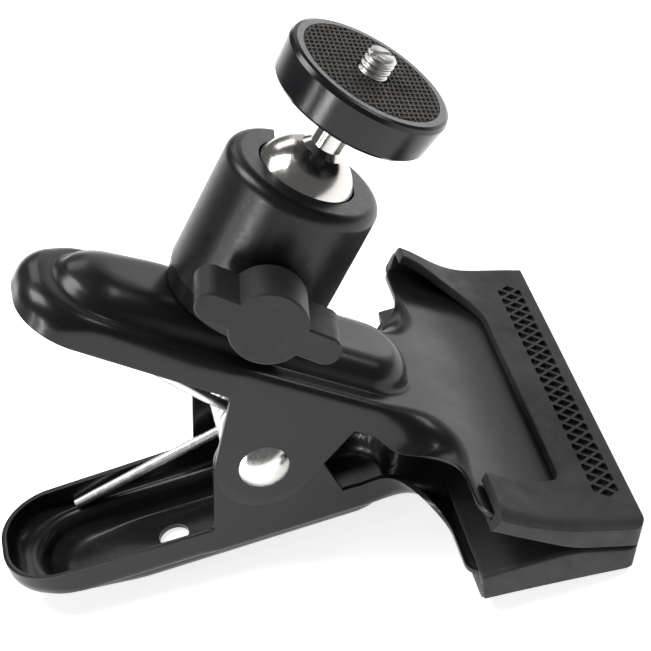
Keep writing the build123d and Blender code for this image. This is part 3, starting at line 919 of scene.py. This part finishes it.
def add_rib(bm, along, over, d, a, b, top, rib, rise):
    """One rib of the pad's net, with sloping flanks."""
    ends = []
    for run, trim in ((a, 0.12), (b, -0.12)):
        ring = []
        for offset, z, shift in (
            (-rib / 2, top - rise - 0.1, 0),
            (-rib / 2 + 0.09, top, trim),
            (rib / 2 - 0.09, top, trim),
            (rib / 2, top - rise - 0.1, 0),
        ):
            at = along * (run + shift) + over * (d + offset)
            ring.append(bm.verts.new((at.x, at.y, z)))
        ends.append(ring)
    first, second = ends
    for k in range(4):
        n = (k + 1) % 4
        bm.faces.new((first[k], first[n], second[n], second[k]))
    bm.faces.new(first[::-1])
    bm.faces.new(second)


# Stage


def stage():
    """Pale floor and soft lights."""
    bm = bmesh.new()
    bmesh.ops.create_grid(bm, x_segments=1, y_segments=1, size=4)
    mesh = bpy.data.meshes.new("floor")
    bm.to_mesh(mesh)
    bm.free()
    floor = add_object("floor", mesh)
    paint = Paint("floor", (0.9, 0.9, 0.9), 0.7)
    paint.tone(paint.noise(3, 2), (0.88, 0.88, 0.88), (0.92, 0.92, 0.92))
    paint.shader.inputs["Emission Color"].default_value = (1, 1, 1, 1)
    paint.shader.inputs["Emission Strength"].default_value = 0.75
    floor.data.materials.append(paint.material)
    world = bpy.data.worlds.new("world")
    bpy.context.scene.world = world
    world.use_nodes = True
    world.node_tree.nodes["Background"].inputs["Color"].default_value = (1, 1, 1, 1)
    world.node_tree.nodes["Background"].inputs["Strength"].default_value = 0.14
    soft_light("top", (-0.35, 0.2, 0.95), (0.0, 0, 0.03), 0.45, 0.6, 9)
    soft_light("back", (0.0, 1.0, 0.78), (0, 0, 0.03), 0.5, 0.4, 1.3)
    soft_light("back_right", (0.65, 1.0, 0.4), (0, 0, 0.05), 1.2, 0.7, 1.6)
    soft_light("low_back", (0.78, 1.02, 0.17), (-0.04, 0, 0.05), 0.4, 0.22, 0.45)
    soft_light("left", (-1.0, -0.52, 0.2), (0, 0, 0.06), 0.16, 0.5, 4.5)
    soft_light("left_strip", (-1.05, -0.15, 0.2), (0, 0, 0.06), 0.1, 0.5, 1.6)
    soft_light("right", (0.9, 0.1, 0.8), (0, 0, 0.04), 0.3, 0.5, 3)


def soft_light(name, place, aim, width, height, power):
    """A rectangular soft box."""
    data = bpy.data.lights.new(name, "AREA")
    data.shape = "RECTANGLE"
    data.size, data.size_y, data.energy = width, height, power
    lamp = bpy.data.objects.new(name, data)
    bpy.context.scene.collection.objects.link(lamp)
    lamp.location = place
    lamp.rotation_mode = "QUATERNION"
    lamp.rotation_quaternion = (Vector(aim) - Vector(place)).to_track_quat("-Z", "Y")


def camera():
    """Camera at the viewing angle, rolled a little, aimed beside the head."""
    azimuth, elevation, roll = radians(-3.65), radians(37.7), radians(-13.46)
    target, distance = Vector((0.01458, 0, 0.04792)), 0.43782
    back = Vector((
        sin(azimuth) * cos(elevation), -cos(azimuth) * cos(elevation), sin(elevation)
    ))
    data = bpy.data.cameras.new("camera")
    data.lens, data.sensor_width = 113.5, 36
    cam = bpy.data.objects.new("camera", data)
    bpy.context.scene.collection.objects.link(cam)
    cam.location = target + back * distance
    cam.rotation_mode = "QUATERNION"
    level = (-back).to_track_quat("-Z", "Y")
    cam.rotation_quaternion = level @ Matrix.Rotation(roll, 3, "Z").to_quaternion()
    bpy.context.scene.camera = cam


def dress(obj, body, slot, material, *nodes):
    """Puts a new piece in the model: its body, material and CAD nodes; slot is not used."""
    obj.data.materials.clear()
    obj.data.materials.append(material)
    if nodes:
        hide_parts(*nodes)
    if body:
        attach(obj, body)


def repaint(node, material):
    """A better material on a CAD node that keeps its shape."""
    obj = frame["nodes"][node]
    obj.data.materials.clear()
    obj.data.materials.append(material)


stage()
camera()
bpy.context.scene.view_settings.view_transform = "Standard"

ARM_PAINT = arm_paint()
RUBBER = jaw_rubber()
ZINC = plated("plated_steel", (0.80, 0.80, 0.78), 0.16, 0.34, 300)
WIRE = plated("spring_wire", (0.90, 0.90, 0.88), 0.34, 0.5, 400)
STUD_STEEL = plated("stud_steel", (0.66, 0.65, 0.63), 0.28, 0.42, 400)
MIRROR = plated("polished_ball", (0.66, 0.64, 0.61), 0.10, 0.22, 160)
HEAD_BLACK = satin_alloy("head_finish", 0.27, 0.36)
PLATFORM_BLACK = satin_alloy("platform_finish", 0.15, 0.22)
KNOB_GREY = knob_plastic()
PAD = pad_rubber()
NYLON = inner_plastic()
BRASS = plated("brass_block", (0.72, 0.55, 0.26), 0.2, 0.35, 300)

upper_arm = pressed_arm("upper_arm_pressing", UPPER_HALF, UPPER, UPPER_SLOPE, RIVET_R + 0.05, HEAD_T)
dress(upper_arm, "upper_arm", "arm_paint", ARM_PAINT, "upper_jaw_arm")
lower_arm = pressed_arm("lower_arm_pressing", LOWER_HALF, LOWER, LOWER_SLOPE, RIVET_R, LOWER_HOLE_T)
dress(lower_arm, "lower_arm", "arm_paint", ARM_PAINT, "lower_jaw_arm")
upper_cover = jaw_cover("upper_cover_rubber", MIDWAY, (0.5, 4.2), 0.0)
dress(upper_cover, "upper_arm", "jaw_rubber", RUBBER, "upper_jaw_cover")
lower_cover = jaw_cover("lower_cover_rubber", MIDWAY @ FLIP, (0.3, 0.3), 2.8)
dress(lower_cover, "lower_arm", "jaw_rubber", RUBBER, "lower_jaw_cover")

spring = torsion_spring()
dress(spring, None, "spring_wire", WIRE, "spring_lower_half", "spring_upper_half")
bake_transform(spring)

stud = threaded_stud()
dress(stud, "platform", "polished_ball", STUD_STEEL, "camera_screw")
pad = mesh_pad()
dress(pad, "platform", "pad_rubber", PAD, "platform_pad")

for node, material in {
    "pivot_rivet": ZINC,
    "rivet_washer": ZINC,
    "head_base": HEAD_BLACK,
    "head_body": HEAD_BLACK,
    "mounting_washer": ZINC,
    "mounting_screw": ZINC,
    "retaining_ring": WIRE,
    "ball_seat": NYLON,
    "pressure_block": BRASS,
    "knob_washer": NYLON,
    "lock_screw": ZINC,
    "lock_knob": KNOB_GREY,
    "ball_stud": MIRROR,
    "camera_platform": PLATFORM_BLACK,
}.items():
    repaint(node, material)
